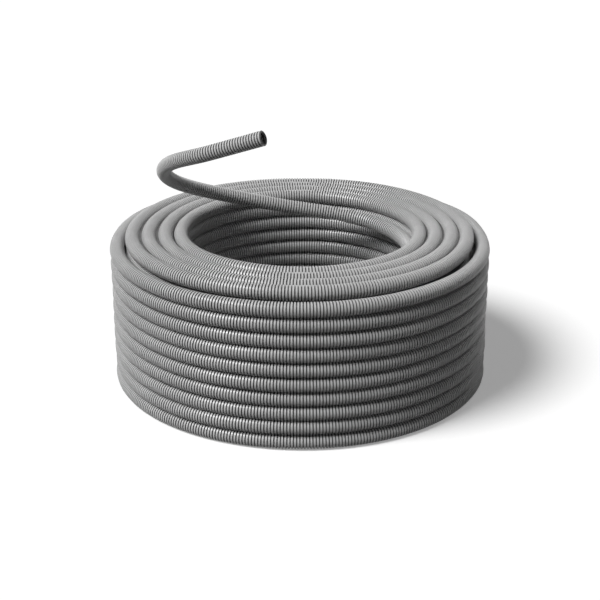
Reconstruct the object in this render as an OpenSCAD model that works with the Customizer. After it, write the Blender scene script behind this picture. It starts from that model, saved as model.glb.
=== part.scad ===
// Coil of corrugated conduit, standing on its flat side, with its free end
// lifted out of the bore. Millimetres, +Z up, origin on the floor under the
// middle of the coil.

/* [Conduit] */
// Outside diameter of the conduit, over its ribs
tube_od = 16; // [13.5:0.5:25]
// Clear bore of the conduit, inside its ribs
tube_id = 12.1; // [7:0.1:14.5]
// Thickness of the moulded wall
wall = 0.55; // [0.3:0.05:0.8]
// Distance from one rib to the next
rib_pitch = 3.2; // [2.5:0.1:4.5]
// Length of the flat crest of a rib
crest_len = 1.7; // [1:0.1:2]
// Length over which a rib's flank rises
flank_len = 0.25; // [0.1:0.05:0.35]
// Ribs modelled one by one at the cut end
end_ribs = 16; // [4:1:30]

/* [Coil] */
// Diameter of the hole through the coil
bore_d = 248; // [200:2:320]
// Columns of turns, counted outwards from the hole
columns = 5; // [3:1:8]
// Turns in each inner column
inner_rows = 11; // [6:1:14]
// Turns in the outermost column
outer_rows = 10; // [5:1:13]
// How far the turns of the inner columns press into each other
inner_nest = 0.5; // [0.2:0.1:1]
// How far the turns of the outermost column press into each other
outer_nest = 0.1; // [0.1:0.1:1]
// Gap left between neighbouring columns
column_gap = 1.4; // [0.4:0.1:3]

/* [Free end] */
// Where the last turn leaves the coil, as an angle from +X
take_off_angle = -50; // [-70:1:-20]
// Arc of the turn's place that it leaves empty
empty_arc = 72; // [60:1:100]

/* [Hidden] */
$fn = 96;

tube_r = tube_od / 2;
bore_r = bore_d / 2;
column_pitch = tube_od + column_gap;
inner_pitch = tube_od - inner_nest;
outer_pitch = tube_od - outer_nest;
first_column_r = bore_r + tube_r;
inner_top_z = tube_r + (inner_rows - 1) * inner_pitch;
outer_top_z = tube_r + (outer_rows - 1) * outer_pitch;

// Height of the turn that leaves: the second from the top beside the hole
leaving_z = inner_top_z - inner_pitch;

tube_sides = 12;
rings_per_span = 2;

// Route of the free end: straight on from the turn that leaves, then inwards
// under the top turn, over the back of the hole, round at the left and
// forwards, rising all the way. Each step is an angle past the take-off, a
// distance in from the first column, and a rise over the leaving turn.
straight_run = 24;
route_steps = [
    [22, 2, 0], [35, 6, 0], [48, 10, 1], [61, 14, 1], [74, 18, 2], [88, 22, 3],
    [101, 29, 6], [115, 37, 9], [130, 44, 13], [148, 45, 17], [165, 41, 23],
    [180, 32, 30], [194, 20, 39], [207, 8, 50], [219, -4, 63], [230, -13, 78],
    [240, -18, 94], [250, -16, 109], [261, -10, 120], [272, -4, 129], [281, 4, 137]
];
function round_coil(angle, inset, rise) = [
    (first_column_r - inset) * cos(take_off_angle + angle),
    (first_column_r - inset) * sin(take_off_angle + angle),
    leaving_z + rise
];
take_off = round_coil(0, 0, 0);
leaving_heading = [-sin(take_off_angle), cos(take_off_angle), 0];
route = concat(
    [take_off, take_off + straight_run * leaving_heading],
    [for (step = route_steps) round_coil(step[0], step[1], step[2])]
);
route_end = route[len(route) - 1];
end_heading = route_end - route[len(route) - 2];
end_turn = atan2(end_heading.y, end_heading.x);
end_rise = atan2(end_heading.z, norm([end_heading.x, end_heading.y]));

// The wall of the cut end: its outside steps between crest and groove, and
// its inside follows one wall thickness behind
groove_r = tube_id / 2 + wall;
end_len = end_ribs * rib_pitch;
root_len = 2;
groove_half = (rib_pitch - crest_len - 2 * flank_len) / 2;

// Radius at each corner of one rib, for a crest and a groove radius
function rib_corners(start, crest, groove) = [
    [groove, start + groove_half],
    [crest, start + groove_half + flank_len],
    [crest, start + groove_half + flank_len + crest_len],
    [groove, start + rib_pitch - groove_half]
];
function rib_line(ribs, crest, groove) = [
    for (i = ribs) each rib_corners(i * rib_pitch, crest, groove)
];
function reversed(list) = [for (i = [len(list) - 1 : -1 : 0]) list[i]];

// Cubic blend of four neighbouring route points, at t from 0 to 1
function blend(p, t) =
    (pow(1 - t, 3) * p[0] + (3 * pow(t, 3) - 6 * pow(t, 2) + 4) * p[1]
     + (-3 * pow(t, 3) + 3 * pow(t, 2) + 3 * t + 1) * p[2] + pow(t, 3) * p[3]) / 6;
function blend_slope(p, t) =
    -pow(1 - t, 2) * p[0] + (3 * pow(t, 2) - 4 * t) * p[1]
    + (-3 * pow(t, 2) + 2 * t + 1) * p[2] + pow(t, 2) * p[3];
// The route with one more point mirrored past each end, so the blend starts
// and stops exactly on it
function padded(points) = concat(
    [2 * points[0] - points[1]], points,
    [2 * points[len(points) - 1] - points[len(points) - 2]]
);
function unit(v) = v / norm(v);
function window(list, i) = [for (k = [0 : 3]) list[i + k]];

// One ring of points square to the route: its flats lie above and below
function ring_points(centre, heading, radius) =
    let (side = unit(cross(heading, [0, 0, 1])), rise = cross(side, heading))
    [for (k = [0 : tube_sides - 1])
        let (a = (k + 0.5) * 360 / tube_sides)
        centre + radius * (cos(a) * side + sin(a) * rise)];

// Circle of one turn in the coil's section
module turn_section(column, z) {
    translate([first_column_r + column * column_pitch, z]) circle(r = tube_r);
}

module coil_section() {
    last = columns - 1;
    last_r = first_column_r + last * column_pitch;
    polygon([
        [first_column_r, tube_r], [last_r, tube_r], [last_r, outer_top_z],
        [last_r - column_pitch, inner_top_z], [first_column_r, inner_top_z]
    ]);
    for (row = [0 : inner_rows - 1]) turn_section(0, tube_r + row * inner_pitch);
    for (row = [0 : outer_rows - 1]) turn_section(last, tube_r + row * outer_pitch);
    for (column = [1 : last - 1]) {
        turn_section(column, tube_r);
        turn_section(column, inner_top_z);
    }
}

// The wound turns as one solid, with the place of the leaving turn empty
// from where it leaves
module coil() color("gray")
    difference() {
        rotate_extrude() coil_section();
        rotate([0, 0, take_off_angle])
            rotate_extrude(angle = empty_arc)
                translate([bore_r - 1, leaving_z - inner_pitch / 2])
                    square([tube_r + 1 + column_pitch / 2, inner_pitch]);
    }

// The free stretch as a plain tube along its route
module free_tube() {
    points = padded(route);
    spans = len(points) - 3;
    stations = [
        for (i = [0 : spans - 1], j = [0 : rings_per_span - 1]) [i, j / rings_per_span],
        [spans - 1, 1]
    ];
    rings = [
        for (s = stations)
            let (p = window(points, s[0]))
            ring_points(blend(p, s[1]), unit(blend_slope(p, s[1])), tube_r)
    ];
    count = len(rings);
    sides = [
        for (i = [0 : count - 2], k = [0 : tube_sides - 1])
            let (next = (k + 1) % tube_sides, a = i * tube_sides, b = a + tube_sides)
            [a + k, a + next, b + next, b + k]
    ];
    start_cap = [for (k = [tube_sides - 1 : -1 : 0]) k];
    end_cap = [for (k = [0 : tube_sides - 1]) (count - 1) * tube_sides + k];
    polyhedron([for (ring = rings) each ring], concat([start_cap, end_cap], sides), convexity = 6);
}

// The cut end: a straight length of ribbed wall, open at the mouth and
// closed under its first rib, where the plain tube begins
module ribbed_mouth() {
    outside = rib_line([0 : end_ribs - 1], tube_r, groove_r);
    inside = rib_line([1 : end_ribs - 1], tube_r - wall, groove_r - wall);
    rotate_extrude()
        polygon(concat(
            [[0, -root_len], [groove_r, -root_len]],
            outside,
            [[groove_r, end_len], [groove_r - wall, end_len]],
            reversed(inside),
            [[groove_r - wall, rib_pitch], [0, rib_pitch]]
        ));
}

module free_end() color("darkgray") {
    free_tube();
    translate(route_end) rotate([0, 90 - end_rise, end_turn]) ribbed_mouth();
}

coil();
free_end();
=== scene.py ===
# %% [markdown]
# # A coil of corrugated conduit
#
# Flexible conduit is one long plastic tube whose wall is folded into ribs, so that it bends
# without kinking. It is sold wound into a flat coil. Here some fifty turns stand on their flat
# side, and the last stretch of the tube lifts out of the hole and ends in an open, ribbed mouth.
#
# Everything below is one idea used again and again: a *profile carried along a path*. The path
# is a circle for a wound turn and a free curve for the loose end. The profile is the zigzag of
# one rib, repeated. Both are whole numpy arrays, so thousands of ribs cost no Python loop.

# %% Load the frame
import math
from typing import NamedTuple

import bpy
import numpy as np
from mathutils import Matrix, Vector


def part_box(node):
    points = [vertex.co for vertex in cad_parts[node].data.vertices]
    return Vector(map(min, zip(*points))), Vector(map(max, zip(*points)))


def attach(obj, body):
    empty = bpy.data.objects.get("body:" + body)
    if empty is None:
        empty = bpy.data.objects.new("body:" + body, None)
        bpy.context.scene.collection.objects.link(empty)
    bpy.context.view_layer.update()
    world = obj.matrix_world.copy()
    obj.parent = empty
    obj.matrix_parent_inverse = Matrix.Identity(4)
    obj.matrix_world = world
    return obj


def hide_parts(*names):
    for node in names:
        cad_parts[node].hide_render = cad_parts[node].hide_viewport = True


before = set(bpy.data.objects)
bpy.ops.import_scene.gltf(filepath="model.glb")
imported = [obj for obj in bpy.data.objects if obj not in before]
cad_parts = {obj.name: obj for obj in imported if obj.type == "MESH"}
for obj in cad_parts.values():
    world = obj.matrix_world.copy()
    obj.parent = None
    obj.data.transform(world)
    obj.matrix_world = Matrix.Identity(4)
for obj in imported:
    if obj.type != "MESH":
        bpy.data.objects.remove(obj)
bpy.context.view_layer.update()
coil_low, coil_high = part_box("coil")
print("coil", [round(v, 4) for v in coil_high - coil_low])

# %% [markdown]
# ## The camera
#
# A coil seen from a little above shows three things at once: the stack of turns outside, the
# rings on top and the far wall of the hole. A long lens keeps the rings close to true ellipses.
# `to_track_quat` turns the camera's own -Z axis towards a point, which is easier to read than
# three angles.

# %% Camera
CAMERA_DISTANCE = 1.5433
CAMERA_ELEVATION = math.radians(21.836)
CAMERA_LENS = 81.76  # mm, on a sensor 36 mm wide
BACKS_AWAY_FROM = Vector((0, 0, 0.08))
LOOKED_AT = Vector((0, 0, 0.0818))

away = Vector((0, -math.cos(CAMERA_ELEVATION), math.sin(CAMERA_ELEVATION)))
camera = bpy.data.objects.new("camera", bpy.data.cameras.new("camera"))
camera.data.lens = CAMERA_LENS
camera.location = BACKS_AWAY_FROM + CAMERA_DISTANCE * away
camera.rotation_euler = (LOOKED_AT - camera.location).to_track_quat("-Z", "Y").to_euler()
bpy.context.scene.collection.objects.link(camera)
bpy.context.scene.camera = camera
print("camera at", [round(v, 3) for v in camera.location])

# %% [markdown]
# ## The sizes of the conduit and of its winding
#
# The tube is 16 mm over its ribs. A rib has a flat crest and steep flanks, and the groove
# between two ribs is narrower than the crest. The winding has five columns of turns, counted
# outwards from the hole. The outermost column has one turn fewer, so it stands lower.
# The coil's own box gives the outermost column, and the rest follows from the pitches: inwards
# from there, and upwards from the floor. Lengths are in metres, apart from the route's steps.

# %% Sizes
TUBE_R = 0.008  # over the ribs
GROOVE_R = 0.0066  # at the bottom of a groove
WALL = 0.00055
RIB_PITCH = 0.0032
GROOVE_HALF = 0.0005  # half of a groove's bottom, along the tube
FLANK = 0.00025  # along the tube
CREST = 0.0017
COLUMNS = 5
COLUMN_PITCH = 0.0174
INNER_ROWS = 11
INNER_PITCH = 0.0155
OUTER_ROWS = 10
OUTER_PITCH = 0.0159

column_r = coil_high.x - TUBE_R - COLUMN_PITCH * np.arange(COLUMNS)[::-1]
inner_z = TUBE_R + INNER_PITCH * np.arange(INNER_ROWS)
outer_z = TUBE_R + OUTER_PITCH * np.arange(OUTER_ROWS)
top_z = inner_z[-1]
leaving_z = inner_z[-2]
print("columns at", column_r.round(4), "rows up to", round(top_z, 4), "and", round(outer_z[-1], 4))

# %% [markdown]
# ## The route of the free end
#
# The second turn from the top, beside the hole, is the one that leaves. It runs straight on,
# swings inwards under the top turn, passes over the back of the hole, comes round at the left
# and forwards, and rises all the way. Each step is an angle past the take-off in degrees, a
# distance in from the first column and a rise, both in millimetres. A uniform cubic B-spline
# rounds the steps off: it is stiff and even, as plastic tube is, and one mirrored point past
# each end makes it start and stop exactly on the first and the last step.

# %% Route
TAKE_OFF_ANGLE = -50
STRAIGHT_RUN = 0.024
END_LENGTH = 0.0512
POINTS_PER_SPAN = 24
POINTS_ON_END = 16
MM_PER_METRE = 1000
ROUTE_STEPS = [
    (22, 2, 0), (35, 6, 0), (48, 10, 1), (61, 14, 1), (74, 18, 2), (88, 22, 3),
    (101, 29, 6), (115, 37, 9), (130, 44, 13), (148, 45, 17), (165, 41, 23),
    (180, 32, 30), (194, 20, 39), (207, 8, 50), (219, -4, 63), (230, -13, 78),
    (240, -18, 94), (250, -16, 109), (261, -10, 120), (272, -4, 129), (281, 4, 137),
]


def round_coil(angle, inset, rise):
    """The point at an angle past the take-off, set in from the first column, above the leaving turn."""
    turn = math.radians(TAKE_OFF_ANGLE + angle)
    reach = column_r[0] - inset / MM_PER_METRE
    return np.array([reach * math.cos(turn), reach * math.sin(turn), leaving_z + rise / MM_PER_METRE])


def smooth_route(points):
    """A uniform cubic B-spline: each span blends four neighbours by the weights
    (1-t)^3, 3t^3-6t^2+4, -3t^3+3t^2+3t+1 and t^3, over six."""
    padded = np.vstack([2 * points[0] - points[1], points, 2 * points[-1] - points[-2]])
    t = np.linspace(0, 1, POINTS_PER_SPAN, endpoint=False)[:, None]
    weights = np.hstack([
        (1 - t) ** 3,
        3 * t**3 - 6 * t**2 + 4,
        -3 * t**3 + 3 * t**2 + 3 * t + 1,
        t**3,
    ]) / 6
    windows = np.stack([padded[k:len(padded) - 3 + k] for k in range(4)], axis=1)
    spans = np.einsum("tw,swc->stc", weights, windows).reshape(-1, 3)
    return np.vstack([spans, points[-1]])


take_off = round_coil(0, 0, 0)
leaving_turn = math.radians(TAKE_OFF_ANGLE)
leaving_heading = np.array([-math.sin(leaving_turn), math.cos(leaving_turn), 0])
straight_on = take_off + STRAIGHT_RUN * leaving_heading
corners = np.vstack([take_off, straight_on, [round_coil(*step) for step in ROUTE_STEPS]])
end_heading = corners[-1] - corners[-2]
end_heading /= np.linalg.norm(end_heading)
mouth = corners[-1] + END_LENGTH * end_heading
route = np.vstack([smooth_route(corners), np.linspace(corners[-1], mouth, POINTS_ON_END + 1)[1:]])
route_at = np.concatenate([[0], np.cumsum(np.linalg.norm(np.diff(route, axis=0), axis=1))])
route_heading = np.gradient(route, route_at, axis=0)
free_length = route_at[-1]
print(f"free end {free_length:.3f} m, mouth at {mouth.round(4)}")

# %% [markdown]
# ## One rib, and many
#
# A rib is four corners: up the flank, along the crest, down the flank, and then the groove.
# `rib_corners` lists them for a whole tube as distances along it, with a height from 0 in the
# groove to 1 on the crest. The pitch gives a little, so that a whole number of ribs fits.
# Where a tube is seen close up, the crest's two edges get a small chamfer as well.

# %% Ribs
PLAIN_RIB = np.array([
    [GROOVE_HALF, 0],
    [GROOVE_HALF + FLANK, 1],
    [GROOVE_HALF + FLANK + CREST, 1],
    [GROOVE_HALF + 2 * FLANK + CREST, 0],
])
CHAMFER_ON_CREST = 0.00018
CHAMFER_ON_FLANK = 0.2  # as a share of the flank
CHAMFER_FOOT = 0.86  # height at which it starts
FINE_RIB = np.array([
    [GROOVE_HALF, 0],
    [GROOVE_HALF + FLANK * (1 - CHAMFER_ON_FLANK), CHAMFER_FOOT],
    [GROOVE_HALF + FLANK + CHAMFER_ON_CREST, 1],
    [GROOVE_HALF + FLANK + CREST - CHAMFER_ON_CREST, 1],
    [GROOVE_HALF + FLANK * (1 + CHAMFER_ON_FLANK) + CREST, CHAMFER_FOOT],
    [GROOVE_HALF + 2 * FLANK + CREST, 0],
])


def rib_corners(length, rib):
    """Distance along the tube and height of every corner, for as many ribs as fit the length."""
    count = max(1, round(length / RIB_PITCH))
    along = (np.arange(count)[:, None] + rib[:, 0] / RIB_PITCH) * length / count
    return along.ravel(), np.tile(rib[:, 1], count)


print("ribs on the free end", len(rib_corners(free_length, PLAIN_RIB)[0]) // len(PLAIN_RIB))

# %% [markdown]
# ## The skin of a tube
#
# With a centre line, a heading and a radius for each row of points, the skin is
# *centre + radius (cos a · side + sin a · rise)*. `side` is square to the heading and level, and
# `rise` completes the three. On a turn that is walked counter-clockwise, side points away from
# the middle of the coil, so an angle of 0 is the outside of the turn, 90° its top and 180° its
# side towards the hole.
#
# Each point also keeps where it would be if the tube were straight. Patterns that read this
# `straight` attribute run along the tube and never swim in space.

# %% Skins and their faces
class Skin(NamedTuple):
    """One closed skin, with what its flat map and its finish need to know."""
    points: np.ndarray
    quads: np.ndarray  # the four point numbers of each face, one row of faces after another
    caps: list  # rings of point numbers that close the two ends
    straight: np.ndarray  # each point's place on the straightened tube
    heights: np.ndarray  # each point's rib height, 0 in the groove and 1 on the crest
    widths: np.ndarray  # each face row's width on the flat map


def grid_quads(rows, columns, closed):
    """The faces between neighbouring rows. Columns always close round, and rows do when told to."""
    row = np.arange(rows if closed else rows - 1)[:, None]
    column = np.arange(columns)[None, :]
    here, there, beside = row * columns, (row + 1) % rows * columns, (column + 1) % columns
    quads = np.stack([here + column, there + column, there + beside, here + beside], axis=-1)
    return quads.reshape(-1, 4)


print("a closed grid of 3 rows and 4 columns has", len(grid_quads(3, 4, closed=True)), "faces")

# %% Tube skin
FLANK_SHARE = 0.35  # how much of a flank's climb counts towards its width on the flat map
LEAST_WIDTH = 0.0004  # of a row of faces on the flat map


def skin(centre, heading, radius, angles, along, height, closed=False):
    """The skin of a tube: row by row, its points are centre + radius (cos a side + sin a rise).
    An open one is closed by a flat cap at each end."""
    heading = heading / np.linalg.norm(heading, axis=1, keepdims=True)
    side = np.cross(heading, [0, 0, 1])
    side /= np.linalg.norm(side, axis=1, keepdims=True)
    rise = np.cross(side, heading)
    cosine, sine = np.cos(angles)[None, :, None], np.sin(angles)[None, :, None]
    reach = radius[:, None, None]
    points = centre[:, None] + reach * (cosine * side[:, None] + sine * rise[:, None])
    unrolled = np.broadcast_arrays(along[:, None, None], reach * cosine, reach * sine)
    rows, columns = points.shape[:2]
    first = np.arange(columns)
    last = np.arange(rows * columns - 1, (rows - 1) * columns - 1, -1)
    walked = np.linalg.norm(np.roll(centre, -1, axis=0) - centre, axis=1)
    climbed = np.abs(np.roll(radius, -1) - radius)
    widths = np.maximum(walked + FLANK_SHARE * climbed, LEAST_WIDTH)
    return Skin(
        points=points.reshape(-1, 3),
        quads=grid_quads(rows, columns, closed),
        caps=[] if closed else [first, last],
        straight=np.concatenate(unrolled, axis=2).reshape(-1, 3),
        heights=np.repeat(height, columns),
        widths=widths if closed else widths[:-1],
    )


print("a skin carries its", ", ".join(Skin._fields))

# %% [markdown]
# ## A flat map of the skin
#
# Colours can be carried to other programs only on a flat map. An automatic one would cut the
# ribs into thousands of crumbs, but a tube unrolls by itself: the way along its profile goes
# across the map and the way round it goes up. One tube is far too long for a square, so its
# rows of faces are laid end to end, and that band is cut into strips which lie one above
# another. The steep flanks are squeezed, because nearly all that is seen is crest and groove.

# %% Flat map
MAP_NAME = "OFBake"  # the name of each piece's own flat map
FINER_ALONG = 6  # how much finer the map is along the tube than round it
STRIP_EDGE = 0.04  # share of a strip's height that stays free at its foot and at its head
CAP_RADIUS = 0.4  # of a cap's disc, as a share of a strip's height
HAIR = 1e-9  # a row that starts within this share past a strip's end still lies on that strip


def flat_map(skins):
    """Every face corner's place on the map, and the number of strips. A row of faces starts at the
    sum of the widths before it, less the strips that are full, and its columns share out the
    strip's height. End caps are small discs above the strips."""
    widths = np.concatenate([one.widths for one in skins])
    starts = np.cumsum(widths) - widths
    strips = max(1, round(math.sqrt(FINER_ALONG * widths.sum() / (2 * math.pi * TUBE_R))))
    length = widths.sum() / strips
    strip = np.floor(starts / length * (1 - HAIR))
    left = starts - strip * length
    across = np.stack([left, left + widths]) / (length + widths.max())
    levels = strips + 1
    places, done, caps = [], 0, 0
    for one in skins:
        rows = slice(done, done + len(one.widths))
        done = rows.stop
        columns = len(one.quads) // len(one.widths)
        share = STRIP_EDGE + (1 - 2 * STRIP_EDGE) * np.arange(columns + 1) / columns
        up = (strip[rows][:, None] + share) / levels
        before, after = (np.repeat(edge[rows][:, None], columns, axis=1) for edge in across)
        low, high = up[:, :-1], up[:, 1:]
        places.append(np.stack([before, low, after, low, after, high, before, high], axis=-1).ravel())
        turn = np.linspace(0, 2 * math.pi, columns, endpoint=False)
        for _ in one.caps:
            middle = np.array([caps + 0.5, strips + 0.5]) / levels
            disc = middle + CAP_RADIUS / levels * np.stack([np.cos(turn), np.sin(turn)], axis=1)
            places.append(disc.ravel())
            caps += 1
    return np.concatenate(places), strips


print("flat maps are named", MAP_NAME)

# %% [markdown]
# ## From skins to a piece
#
# A piece is one mesh that holds several skins. The straightened places and the rib heights
# become attributes of its points, which the material reads. Smooth shading rounds the tube, and
# sharp edges keep the flanks of the ribs crisp. Both materials are only named here: their nodes
# are built when the shapes are done.

# %% Piece
SHARP_FROM = math.radians(35)

grey = bpy.data.materials.new("grey_conduit")
# a darker grey for the hidden winding: painted shade at the bottom of the gaps
painted_shade_grey = bpy.data.materials.new("grey_conduit_painted_shade")


def make_piece(name, skins, material):
    """One mesh object from several skins, with its attributes and its flat map."""
    faces, start = [], 0
    for one in skins:
        faces += (one.quads + start).tolist() + [(cap + start).tolist() for cap in one.caps]
        start += len(one.points)
    mesh = bpy.data.meshes.new(name)
    mesh.from_pydata(np.vstack([one.points for one in skins]), [], faces)
    straight = np.vstack([one.straight for one in skins]).astype(np.float32)
    mesh.attributes.new("straight", "FLOAT_VECTOR", "POINT").data.foreach_set("vector", straight.ravel())
    heights = np.concatenate([one.heights for one in skins]).astype(np.float32)
    mesh.attributes.new("rib_height", "FLOAT", "POINT").data.foreach_set("value", heights)
    places, strips = flat_map(skins)
    mesh.uv_layers.new(name=MAP_NAME).uv.foreach_set("vector", places.astype(np.float32))
    mesh.shade_smooth()
    mesh.set_sharp_from_angle(angle=SHARP_FROM)
    mesh.materials.append(material)
    piece = bpy.data.objects.new(name, mesh)
    bpy.context.scene.collection.objects.link(piece)
    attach(piece, "root")
    triangles = sum(len(face) - 2 for face in faces)
    print(f"{name}: {len(skins)} skins, {triangles} triangles, {strips} strips on the map")
    return piece


print("materials", grey.name, "and", painted_shade_grey.name)

# %% [markdown]
# ## The free end and its open mouth
#
# The outside runs from the take-off to the mouth. There the skin turns over the rim and comes
# back as the inner wall, one wall thickness behind the outer one, so the mouth is truly open.
# Because it is one walk of rows, the wall has no seam.

# %% Free end
ROUND = np.radians(np.arange(0, 360, 12))  # every 12 degrees round the tube


def radius_at(height, thickness=0.0):
    """Rib height 0 to 1 as a radius from groove to crest, less the thickness for the wall behind."""
    return GROOVE_R + (TUBE_R - GROOVE_R) * height - thickness


def on_route(along):
    """Centre and heading at distances along the free end."""
    centre = np.stack([np.interp(along, route_at, route[:, k]) for k in range(3)], axis=1)
    heading = np.stack([np.interp(along, route_at, route_heading[:, k]) for k in range(3)], axis=1)
    return centre, heading


def free_end_skin():
    """Outside rows, then the rim, then the inner wall's rows in reverse."""
    along, height = rib_corners(free_length, FINE_RIB)
    inner = along > free_length - END_LENGTH + RIB_PITCH
    rows_at = np.concatenate([[0], along, [free_length, free_length], along[inner][::-1]])
    heights = np.concatenate([[0], height, [0, 0], height[inner][::-1]])
    thickness = np.concatenate([np.zeros(len(along) + 2), np.full(1 + inner.sum(), WALL)])
    centre, heading = on_route(rows_at)
    return skin(centre, heading, radius_at(heights, thickness), ROUND, rows_at, heights)


free_end = make_piece("free_stretch", [free_end_skin()], grey)
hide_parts("free_end")

# %% [markdown]
# ## A wound turn
#
# A turn is the same skin on a circle. A perfect circle looks like a machined part, so the centre
# line wanders by a few tenths of a millimetre, in and out and up and down, as a sum of slow
# waves with random phases. The waves go a whole number of times round, so the turn still closes.
#
# Only part of each turn can be seen. The skin has narrow faces there and a few wide ones on the
# hidden side, which keeps thousands of ribs affordable.

# %% Turns
WANDER = 0.00056  # a wave that goes k times round has this height over k
WAVES = np.arange(2, 6)  # times round the coil
PATTERN_LENGTH = 40  # of the stretch of pattern in which each turn starts at its own place
SEED = 16
random = np.random.default_rng(SEED)


def section(low, high, narrow, wide):
    """Angles round the tube: narrow steps from low to high degrees, and wide ones over the rest."""
    seen = np.linspace(low, high, narrow + 1)
    hidden = np.linspace(high, low + 360, wide + 1)[1:-1]
    return np.radians(np.concatenate([seen, hidden]))


def wander(turn):
    """Slow waves round the coil: the sum of sin(k turn + phase) / k, each with its own phase."""
    phase = random.uniform(0, 2 * math.pi, len(WAVES))
    return WANDER * (np.sin(WAVES * turn[:, None] + phase) / WAVES).sum(axis=1)


def in_place(turn):
    """No drift and no lift: the turn lies where its row and column are."""
    return 0 * turn


def turn_skin(radius, z, angles, start=0.0, end=2 * math.pi,
              drift=in_place, lift=in_place, lies_flat=False):
    """One turn of ribbed tube: a circle, to which drift(turn) adds outwards and lift(turn) upwards.
    One that lies flat doesn't wander up or down."""
    along, height = rib_corners(radius * (end - start), PLAIN_RIB)
    turn = start + along / radius
    reach = radius + wander(turn) + drift(turn)
    level = z + (0 if lies_flat else 1) * wander(turn) + lift(turn)
    centre = np.stack([reach * np.cos(turn), reach * np.sin(turn), level], axis=1)
    heading = np.stack([-np.sin(turn), np.cos(turn), 0 * turn], axis=1)
    along += random.uniform(0, PATTERN_LENGTH)
    closed = math.isclose(end - start, 2 * math.pi)
    return skin(centre, heading, radius_at(height), angles, along, height, closed)


print("each turn wanders by up to", round(MM_PER_METRE * WANDER * (1 / WAVES).sum(), 2), "mm")

# %% [markdown]
# ## The outside of the coil
#
# Ten turns lie one on another. The top one is seen from above as well, and the bottom one from
# below, so their narrow faces reach further round. The top one rides up on its neighbours: a
# little on the whole front left, and more at the two shoulders of the back. The ten are shared
# out over two pieces, because a piece stays under 200,000 triangles.

# %% Outside turns
OUTSIDE_TOP = section(-95, 165, narrow=11, wide=2)
OUTSIDE_BETWEEN = section(-100, 100, narrow=9, wide=3)
OUTSIDE_BOTTOM = section(-165, 95, narrow=11, wide=2)
HUMPS = (  # middle and half the length of each hump, in degrees round the coil, and its height
    (225, 180, 0.0009),
    (22, 30, 0.0035),
    (156, 28, 0.0019),
)


def riding_up(turn):
    """Lift of the top turn: a sum of humps, each a cosine with its crest in the middle and nothing
    at its ends."""
    lift = 0 * turn
    for middle, half_length, height in HUMPS:
        away = (np.degrees(turn) - middle + 180) % 360 - 180
        lift += height * (1 + np.cos(math.pi * np.clip(away / half_length, -1, 1))) / 2
    return lift


def outside_turn(row):
    """The turn in one row of the outermost column."""
    if row == OUTER_ROWS - 1:
        return turn_skin(column_r[-1], outer_z[row], OUTSIDE_TOP, lift=riding_up)
    if row == 0:
        return turn_skin(column_r[-1], outer_z[row], OUTSIDE_BOTTOM, lies_flat=True)
    return turn_skin(column_r[-1], outer_z[row], OUTSIDE_BETWEEN)


half = OUTER_ROWS // 2
turns = [
    make_piece("turns_outside_low", [outside_turn(row) for row in range(half)], grey),
    make_piece("turns_outside_high", [outside_turn(row) for row in range(half, OUTER_ROWS)], grey),
]

# %% [markdown]
# ## The turns round the hole
#
# These show their inner side. The second from the top is the one that leaves: it stops at the
# take-off, where the free end carries on from it. Its own beginning comes out of the second
# column, so it starts hidden and eases inwards to its place.

# %% Turns round the hole
HOLE_TOP = section(15, 275, narrow=11, wide=2)
HOLE_LEAVING = section(70, 290, narrow=10, wide=3)
HOLE_BETWEEN = section(80, 280, narrow=9, wide=3)
HOLE_BOTTOM = section(85, 345, narrow=11, wide=2)
TURN_IN_FROM = -42  # degrees round the coil
TURN_IN_TO = 24
LOW_ROWS = 6  # in the lower of the two pieces


def easing_in(turn):
    """How far out the leaving turn still is: one column at its start, easing to nothing by a cosine."""
    share = np.clip((np.degrees(turn) - TURN_IN_FROM) / (TURN_IN_TO - TURN_IN_FROM), 0, 1)
    return COLUMN_PITCH * (1 + np.cos(math.pi * share)) / 2


def hole_turn(row):
    """The turn in one row of the innermost column."""
    if row == INNER_ROWS - 1:
        return turn_skin(column_r[0], inner_z[row], HOLE_TOP)
    if row == INNER_ROWS - 2:
        return turn_skin(column_r[0], leaving_z, HOLE_LEAVING, math.radians(TURN_IN_FROM),
                         math.radians(TAKE_OFF_ANGLE + 360), drift=easing_in)
    if row == 0:
        return turn_skin(column_r[0], inner_z[row], HOLE_BOTTOM, lies_flat=True)
    return turn_skin(column_r[0], inner_z[row], HOLE_BETWEEN)


turns += [
    make_piece("turns_hole_low", [hole_turn(row) for row in range(LOW_ROWS)], grey),
    make_piece("turns_hole_high", [hole_turn(row) for row in range(LOW_ROWS, INNER_ROWS)], grey),
]

# %% [markdown]
# ## The rings on the top and on the bottom
#
# Between the innermost and the outermost column, only the top and the bottom turn of each column
# show. Because the outermost column is lower, the fourth column also shows its outer side: the
# narrow faces of its top turn reach further round, and its second turn is there as well. That
# one has slipped down at the front right, which leaves a dark gap.

# %% Rings on the faces
RING_TOP = section(-10, 190, narrow=11, wide=3)
FOURTH_TOP = section(-60, 190, narrow=11, wide=3)
FOURTH_SECOND = section(-50, 110, narrow=7, wide=3)
RING_BOTTOM = section(170, 370, narrow=8, wide=3)
FOURTH_SITS_LOWER = 0.0005
SLIPS_DOWN = 0.007
SLIPS_AT = math.radians(-45)
LEAN = 0.0005


def slipped(turn):
    """Drop of the fourth column's second turn: a cosine, deepest at the front right and nothing
    opposite."""
    return -SLIPS_DOWN * (1 + np.cos(turn - SLIPS_AT)) / 2


def leaning(turn):
    """How far the fourth column's top turns sit towards the left: a cosine once round."""
    return -LEAN * np.cos(turn)


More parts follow.
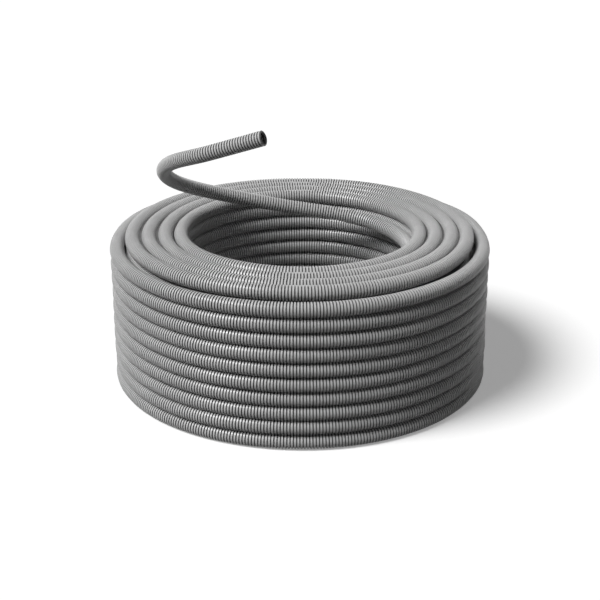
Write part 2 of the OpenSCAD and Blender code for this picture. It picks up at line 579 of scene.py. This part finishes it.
top_rings = [turn_skin(radius, top_z, RING_TOP) for radius in column_r[1:3]]
top_rings.append(turn_skin(column_r[3], top_z - FOURTH_SITS_LOWER, FOURTH_TOP, drift=leaning))
top_rings.append(turn_skin(column_r[3], leaving_z, FOURTH_SECOND, drift=leaning, lift=slipped))
bottom_rings = [turn_skin(radius, TUBE_R, RING_BOTTOM, lies_flat=True) for radius in column_r[1:4]]
turns += [make_piece("turns_top", top_rings, grey), make_piece("turns_bottom", bottom_rings, grey)]

# %% [markdown]
# ## The hidden winding
#
# Behind the turns that show, one plain lathed body stands for the rest, so that no light leaks
# through the coil. Its outline runs inside the turns that show and keeps below their tops, and it
# steps back where the leaving turn has left its place empty.

# %% Core
CORE_STEPS = 120
INSET = 0.001  # of its walls from the middles of the turns that hide them
CLEARANCE = 0.0003  # between it and the place of the leaving turn
TOP_RISE = 0.002  # of its top over the top row's middles
SET_BACK = 0.004  # of its bottom over the bottom row's middles, and of its shoulder under the second row's


def lathe(outline, steps):
    """A closed outline of (radius, height) points turned about the Z axis, each to
    (radius cos t, radius sin t, height), as one skin. Its rib height is 0 all over, so it gets the
    grooves' painted shade all over."""
    reach, level = np.array(outline).T
    turn = np.linspace(0, 2 * math.pi, steps, endpoint=False)[:, None]
    points = np.stack([reach * np.cos(turn), reach * np.sin(turn), level + 0 * turn], axis=2)
    points = points.reshape(-1, 3)
    widths = np.full(steps, 2 * math.pi * reach.mean() / steps)
    quads = grid_quads(steps, len(outline), closed=True)
    return Skin(points, quads, [], points, np.zeros(len(points)), widths)


inner_r, outer_r = column_r[0] + INSET, column_r[-1] - INSET
recess_r = column_r[0] + TUBE_R + CLEARANCE
low_z, high_z = TUBE_R + SET_BACK, top_z + TOP_RISE
recess_z = leaving_z - INNER_PITCH / 2
core_outline = [
    (inner_r, low_z),
    (outer_r, low_z),
    (outer_r, outer_z[-1] - TUBE_R),
    (column_r[-2] + INSET, leaving_z - SET_BACK),
    (column_r[-2] + INSET, top_z - INSET),
    (column_r[-2] - INSET, high_z),
    (recess_r, high_z),
    (recess_r, recess_z),
    (inner_r, recess_z),
]
# the hidden winding is painted dark, as the shade at the bottom of the gaps
core = make_piece("hidden_winding", [lathe(core_outline, CORE_STEPS)], painted_shade_grey)
for piece in turns + [core]:
    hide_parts("coil")

# %% [markdown]
# ## The finish of the plastic
#
# Extruded conduit is one mid-grey plastic all through, with a soft sheen. What keeps it from
# looking like a flat colour is small: cloudy changes of tone along the tube, grooves that are
# painted darker for the shade in them and for the dust that they hold, and duller from that dust,
# crests that are rubbed a touch lighter in places, and a very fine grain. Two materials share
# these effects, so they live in two node groups, built once.
# First come a few helpers, so that a node tree can be read as a formula.

# %% Node helpers
MOST_NOISE = (0.3, 0.7)  # nearly all values of a noise lie between these


def new_group(name, inputs, outputs):
    """An empty shader node group with named sockets, and its input and output nodes."""
    group = bpy.data.node_groups.new(name, "ShaderNodeTree")
    for socket, kind in inputs:
        group.interface.new_socket(socket, in_out="INPUT", socket_type=kind)
    for socket, kind in outputs:
        group.interface.new_socket(socket, in_out="OUTPUT", socket_type=kind)
    return group, group.nodes.new("NodeGroupInput"), group.nodes.new("NodeGroupOutput")


def noise(tree, vector, scale, detail, stretch=(1, 1, 1)):
    """A noise value read at a vector that is first stretched along its axes."""
    mapping = tree.nodes.new("ShaderNodeMapping")
    mapping.inputs["Scale"].default_value = stretch
    texture = tree.nodes.new("ShaderNodeTexNoise")
    texture.inputs["Scale"].default_value = scale
    texture.inputs["Detail"].default_value = detail
    tree.links.new(vector, mapping.inputs["Vector"])
    tree.links.new(mapping.outputs["Vector"], texture.inputs["Vector"])
    return texture.outputs["Fac"]


def math_node(tree, operation, first, second):
    """One Math node. Each operand is a socket or a number."""
    node = tree.nodes.new("ShaderNodeMath")
    node.operation = operation
    for socket, value in zip(node.inputs, (first, second)):
        if isinstance(value, bpy.types.NodeSocket):
            tree.links.new(value, socket)
        else:
            socket.default_value = value
    return node.outputs[0]


def remap(tree, value, low, high, to_low, to_high):
    """Carries a value from one range to another, and stops at its ends."""
    node = tree.nodes.new("ShaderNodeMapRange")
    for name, number in (("From Min", low), ("From Max", high), ("To Min", to_low), ("To Max", to_high)):
        node.inputs[name].default_value = number
    tree.links.new(value, node.inputs["Value"])
    return node.outputs["Result"]


def varied(tree, vector, low, high, scale, detail, span=MOST_NOISE, stretch=(1, 1, 1)):
    """A value that drifts between low and high: a noise, with its span carried to that range."""
    return remap(tree, noise(tree, vector, scale, detail, stretch), *span, low, high)


def level_colour(level):
    """A grey of one level, as an opaque colour."""
    return (level, level, level, 1)


print("a grey of 0.5 is", level_colour(0.5))

# %% [markdown]
# The first group makes the tone, a factor that the base colour is multiplied by: near 1 on the
# crests, and far lower in the grooves, as painted shade, since light hardly reaches them, and for
# the dust that lies there. It gives the dust as well, as a mask that is patchy along the tube.
# Clouds, specks and rubbed places are three noises of very different scales, and the rubbed ones
# are drawn out along the tube.

# %% Tone group
# tone of the grooves: painted shade, together with the dust in them
GROOVE_SHADE_AND_DUST = 0.2
DUST_REACHES = 0.5  # rib height above which no dust lies

tone_group, given, made = new_group(
    "ConduitTone",
    [("Straight", "NodeSocketVector"), ("Rib Height", "NodeSocketFloat")],
    [("Tone", "NodeSocketFloat"), ("Dust", "NodeSocketFloat")],
)
straight, rib_height = given.outputs["Straight"], given.outputs["Rib Height"]
cloud = varied(tone_group, straight, low=0.95, high=1.05, scale=14, detail=3)
speck = varied(tone_group, straight, low=0.98, high=1.02, scale=900, detail=2)
rubbed = varied(tone_group, straight, low=1.0, high=1.09, scale=160, detail=4,
                span=(0.52, 0.7), stretch=(0.25, 1, 1))
rubbed_crest = math_node(tone_group, "POWER", rubbed, rib_height)
# grooves and flanks darker by rib height: painted shade, and dust
groove = remap(tone_group, rib_height, 0.0, 1.0, GROOVE_SHADE_AND_DUST, 1.0)
tone = math_node(tone_group, "MULTIPLY", cloud, speck)
tone = math_node(tone_group, "MULTIPLY", tone, rubbed_crest)
tone_group.links.new(math_node(tone_group, "MULTIPLY", tone, groove), made.inputs["Tone"])
patchy = varied(tone_group, straight, low=0.3, high=1.0, scale=60, detail=3, span=(0.4, 0.7))
in_groove = remap(tone_group, rib_height, 0.0, DUST_REACHES, 1.0, 0.0)
tone_group.links.new(math_node(tone_group, "MULTIPLY", patchy, in_groove), made.inputs["Dust"])
print("group", tone_group.name, "with", len(tone_group.nodes), "nodes")

# %% [markdown]
# The second group makes the surface. The plastic's own roughness drifts a little, as on any
# extruded tube, and dust dulls it. Its height is the fine grain, which is far too small to model,
# so it goes to a bump.

# %% Surface group
DUST_DULLS = 0.3  # roughness that full dust adds

surface_group, given, made = new_group(
    "ConduitSurface",
    [("Straight", "NodeSocketVector"), ("Dust", "NodeSocketFloat")],
    [("Roughness", "NodeSocketFloat"), ("Height", "NodeSocketFloat")],
)
straight = given.outputs["Straight"]
sheen = varied(surface_group, straight, low=0.28, high=0.38, scale=45, detail=4)
dull = math_node(surface_group, "MULTIPLY", given.outputs["Dust"], DUST_DULLS)
surface_group.links.new(math_node(surface_group, "ADD", sheen, dull), made.inputs["Roughness"])
surface_group.links.new(noise(surface_group, straight, scale=1600, detail=2), made.inputs["Height"])
print("group", surface_group.name, "with", len(surface_group.nodes), "nodes")

# %% [markdown]
# A material then only says how grey it is. The hidden winding gets a deeper grey, which is
# painted shade: what is seen of it lies at the bottom of the gaps, where little light reaches.

# %% Materials
GREY_LEVEL = 0.58
# painted shade for the hidden winding, on top of the grooves' painted shade
PAINTED_SHADE_GREY_LEVEL = 0.3
PLASTIC_IOR = 1.5
GRAIN_STRENGTH = 0.12
GRAIN_DEPTH = 0.0002


def finish_plastic(material, level):
    """Grey plastic whose tone, roughness and grain come from the two groups."""
    material.use_nodes = True
    tree = material.node_tree
    shader = tree.nodes["Principled BSDF"]
    shader.inputs["IOR"].default_value = PLASTIC_IOR
    place = tree.nodes.new("ShaderNodeAttribute")
    place.attribute_name = "straight"
    height = tree.nodes.new("ShaderNodeAttribute")
    height.attribute_name = "rib_height"
    tone_node = tree.nodes.new("ShaderNodeGroup")
    tone_node.node_tree = tone_group
    surface_node = tree.nodes.new("ShaderNodeGroup")
    surface_node.node_tree = surface_group
    tint = tree.nodes.new("ShaderNodeMix")
    tint.data_type = "RGBA"
    tint.blend_type = "MULTIPLY"
    tint.inputs["Factor"].default_value = 1
    tint.inputs["A"].default_value = level_colour(level)
    bump = tree.nodes.new("ShaderNodeBump")
    bump.inputs["Strength"].default_value = GRAIN_STRENGTH
    bump.inputs["Distance"].default_value = GRAIN_DEPTH
    tree.links.new(place.outputs["Vector"], tone_node.inputs["Straight"])
    tree.links.new(place.outputs["Vector"], surface_node.inputs["Straight"])
    tree.links.new(height.outputs["Fac"], tone_node.inputs["Rib Height"])
    tree.links.new(tone_node.outputs["Dust"], surface_node.inputs["Dust"])
    tree.links.new(tone_node.outputs["Tone"], tint.inputs["B"])
    tree.links.new(tint.outputs["Result"], shader.inputs["Base Color"])
    tree.links.new(surface_node.outputs["Roughness"], shader.inputs["Roughness"])
    tree.links.new(surface_node.outputs["Height"], bump.inputs["Height"])
    tree.links.new(bump.outputs["Normal"], shader.inputs["Normal"])


finish_plastic(grey, GREY_LEVEL)
finish_plastic(painted_shade_grey, PAINTED_SHADE_GREY_LEVEL)
print("greys", GREY_LEVEL, "and", PAINTED_SHADE_GREY_LEVEL)

# %% [markdown]
# ## The floor
#
# The floor is plain. Light Path tells it which rays come from the camera: those see it near
# white, with the coil's shadow on it, and the light that it throws back on the coil stays
# modest. A brighter floor would wash out the dark gaps between the lowest turns.

# %% Floor
FLOOR_HALF = 6.0
PAPER_SEEN = 0.93  # its grey as the camera sees it
PAPER_THROWS_BACK = 0.1  # its grey for the light that it sends on to the coil
PAPER_GLOW = 0.28  # light of its own, only where it is seen

floor_mesh = bpy.data.meshes.new("floor")
floor_corners = [
    (-FLOOR_HALF, -FLOOR_HALF, 0),
    (FLOOR_HALF, -FLOOR_HALF, 0),
    (FLOOR_HALF, FLOOR_HALF, 0),
    (-FLOOR_HALF, FLOOR_HALF, 0),
]
floor_mesh.from_pydata(floor_corners, [], [(0, 1, 2, 3)])
floor = bpy.data.objects.new("floor", floor_mesh)
bpy.context.scene.collection.objects.link(floor)


def seen_directly(tree):
    """1 for camera, mirror and glass rays, and 0 for the rays that only carry light."""
    path = tree.nodes.new("ShaderNodeLightPath")
    seen = math_node(tree, "MAXIMUM", path.outputs["Is Camera Ray"], path.outputs["Is Glossy Ray"])
    return math_node(tree, "MAXIMUM", seen, path.outputs["Is Transmission Ray"])


paper = bpy.data.materials.new("floor_paper")
paper.use_nodes = True
tree = paper.node_tree
shader = tree.nodes["Principled BSDF"]
shader.inputs["Roughness"].default_value = 1.0
shader.inputs["Specular IOR Level"].default_value = 0.0
shader.inputs["Emission Color"].default_value = level_colour(1)
shade = tree.nodes.new("ShaderNodeMix")
shade.data_type = "RGBA"
shade.inputs["A"].default_value = level_colour(PAPER_THROWS_BACK)
shade.inputs["B"].default_value = level_colour(PAPER_SEEN)
seen = seen_directly(tree)
tree.links.new(seen, shade.inputs["Factor"])
tree.links.new(shade.outputs["Result"], shader.inputs["Base Color"])
tree.links.new(math_node(tree, "MULTIPLY", seen, PAPER_GLOW), shader.inputs["Emission Strength"])
floor_mesh.materials.append(paper)
print("floor", 2 * FLOOR_HALF, "m wide")

# %% [markdown]
# ## The lamp and the world
#
# The lamp is a sun high on the left. Its wide disc makes the edges of shadows soft, as a large
# window would. The world fills in the rest with a little light from all round, and it is white
# where it is seen directly.

# %% Lamp and world
LAMP_AZIMUTH = math.radians(209)
LAMP_ELEVATION = math.radians(53)
LAMP_STRENGTH = 0.95 * math.pi
LAMP_DISC = math.radians(27)
LAMP_DISTANCE = 2
WORLD_FILL = 0.06

lamp = bpy.data.objects.new("key", bpy.data.lights.new("key", "SUN"))
lamp.data.energy = LAMP_STRENGTH
lamp.data.angle = LAMP_DISC
towards_lamp = Vector((
    math.cos(LAMP_ELEVATION) * math.cos(LAMP_AZIMUTH),
    math.cos(LAMP_ELEVATION) * math.sin(LAMP_AZIMUTH),
    math.sin(LAMP_ELEVATION),
))
lamp.location = LAMP_DISTANCE * towards_lamp
lamp.rotation_euler = (-towards_lamp).to_track_quat("-Z", "Y").to_euler()
bpy.context.scene.collection.objects.link(lamp)

world = bpy.data.worlds.new("studio")
bpy.context.scene.world = world
world.use_nodes = True
tree = world.node_tree
fill = tree.nodes["Background"]
fill.inputs["Color"].default_value = level_colour(1)
fill.inputs["Strength"].default_value = WORLD_FILL
backdrop = tree.nodes.new("ShaderNodeBackground")
backdrop.inputs["Color"].default_value = level_colour(1)
backdrop.inputs["Strength"].default_value = 1.0
either = tree.nodes.new("ShaderNodeMixShader")
tree.links.new(seen_directly(tree), either.inputs["Fac"])
tree.links.new(fill.outputs["Background"], either.inputs[1])
tree.links.new(backdrop.outputs["Background"], either.inputs[2])
tree.links.new(either.outputs["Shader"], tree.nodes["World Output"].inputs["Surface"])
bpy.context.scene.view_settings.view_transform = "Standard"
print("lamp from", [round(v, 2) for v in towards_lamp])
